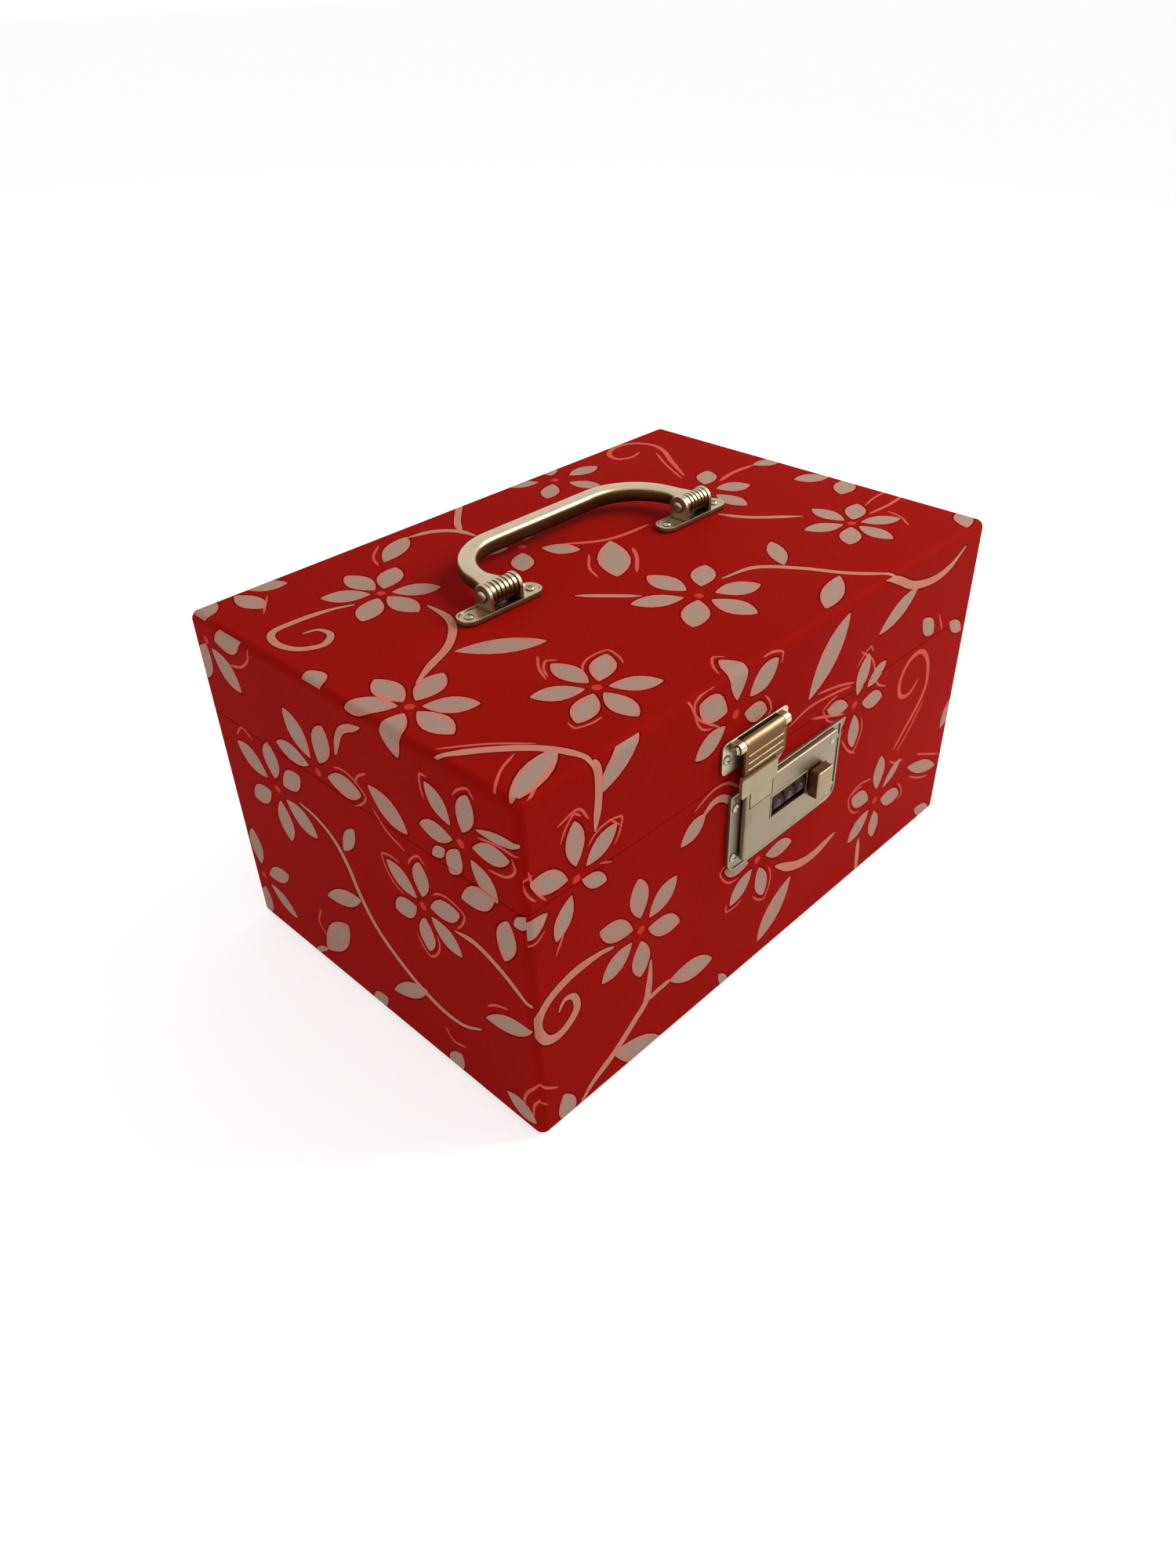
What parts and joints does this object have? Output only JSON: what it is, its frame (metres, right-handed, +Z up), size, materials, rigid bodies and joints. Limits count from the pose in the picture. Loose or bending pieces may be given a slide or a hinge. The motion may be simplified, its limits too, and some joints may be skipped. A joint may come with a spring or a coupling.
{
  "type": "makeup box",
  "caption": "Rectangular cloth-covered makeup box with a hinged lid, folding top handle, front hasp and number lock, sliding tray and lid mirror.",
  "frame": {"origin": "centre of the flat underside, on the surface the box stands on", "axes": "+X along the long side to the right as seen from the front, +Z up, the front with the lock faces -Y"},
  "size_m": [0.3, 0.2186, 0.1832],
  "materials": {
    "printed_cloth": "red cotton with a printed pattern of flowers",
    "under_cloth": "black felt",
    "lining_cloth": "dark red velveteen over card",
    "board": "grey-brown board",
    "gold_metal": "pale gold plating, slightly worn",
    "hinge_steel": "plated steel",
    "lock_steel": "bare steel",
    "dial_black": "black moulded plastic",
    "mirror": "silvered glass",
    "mirror_frame": "pale gold plating"
  },
  "bodies": {
    "base": {"base_back_wall": "board", "base_bottom_panel": "board", "base_cover": "printed_cloth", "base_front_wall": "board", "base_left_wall": "board", "base_lining": "lining_cloth", "base_right_wall": "board", "dial_shaft": "lock_steel", "dial_springs": "lock_steel", "hinge_base_leaf_left": "hinge_steel", "hinge_base_leaf_right": "hinge_steel", "hinge_pin_left": "hinge_steel", "hinge_pin_right": "hinge_steel", "latch_spring": "lock_steel", "locating_lip": "lining_cloth", "lock_base_plate": "gold_metal", "lock_cap": "gold_metal", "lock_case": "lock_steel", "lock_screw_1": "gold_metal", "lock_screw_2": "gold_metal", "lock_screw_3": "gold_metal", "lock_screw_4": "gold_metal", "tray_runner_left": "lining_cloth", "tray_runner_right": "lining_cloth", "underside_sheet": "under_cloth"},
    "lid": {"bracket_screw_1": "gold_metal", "bracket_screw_2": "gold_metal", "bracket_screw_3": "gold_metal", "bracket_screw_4": "gold_metal", "handle_bracket_left": "gold_metal", "handle_bracket_right": "gold_metal", "handle_pin_left": "gold_metal", "handle_pin_right": "gold_metal", "hasp_hinge_plate": "gold_metal", "hasp_pin": "gold_metal", "hasp_screw_1": "gold_metal", "hasp_screw_2": "gold_metal", "hinge_lid_leaf_left": "hinge_steel", "hinge_lid_leaf_right": "hinge_steel", "lid_back_wall": "board", "lid_cover": "printed_cloth", "lid_front_wall": "board", "lid_left_wall": "board", "lid_lining": "lining_cloth", "lid_right_wall": "board", "lid_top_panel": "board", "mirror_frame": "mirror_frame", "mirror_glass": "mirror"},
    "handle": {"carry_handle": "gold_metal"},
    "hasp": {"hasp": "gold_metal"},
    "dial_1": {"number_dial_1": "dial_black"},
    "dial_2": {"number_dial_2": "dial_black"},
    "dial_3": {"number_dial_3": "dial_black"},
    "latch": {"slide_button": "gold_metal"},
    "tray": {"tray_dividers": "lining_cloth", "tray_floor": "lining_cloth", "tray_walls": "lining_cloth"}
  },
  "joints": [
    {"name": "lid_hinge", "type": "hinge", "parent": "base", "child": "lid", "pos_m": [0, 0.1042, 0.122], "axis": [-1, 0, 0], "range_deg": [0, 105]},
    {"name": "handle_swing", "type": "hinge", "parent": "lid", "child": "handle", "pos_m": [0, 0.004, 0.178], "axis": [1, 0, 0], "range_deg": [0, 180]},
    {"name": "hasp_swing", "type": "hinge", "parent": "lid", "child": "hasp", "pos_m": [-0.0245, -0.1056, 0.138], "axis": [-1, 0, 0], "range_deg": [0, 150]},
    {"name": "dial_1_turn", "type": "hinge", "parent": "base", "child": "dial_1", "pos_m": [-0.01015, -0.1019, 0.096], "axis": [1, 0, 0], "continuous": true},
    {"name": "dial_2_turn", "type": "hinge", "parent": "base", "child": "dial_2", "pos_m": [-0.00225, -0.1019, 0.096], "axis": [1, 0, 0], "continuous": true},
    {"name": "dial_3_turn", "type": "hinge", "parent": "base", "child": "dial_3", "pos_m": [0.00565, -0.1019, 0.096], "axis": [1, 0, 0], "continuous": true},
    {"name": "latch_slide", "type": "slide", "parent": "base", "child": "latch", "axis": [1, 0, 0], "range_m": [0, 0.005], "stiffness_N_per_m": 120, "springref_m": -0.004},
    {"name": "tray_slide", "type": "slide", "parent": "base", "child": "tray", "axis": [0, -1, 0], "range_m": [0, 0.0898]}
  ]
}
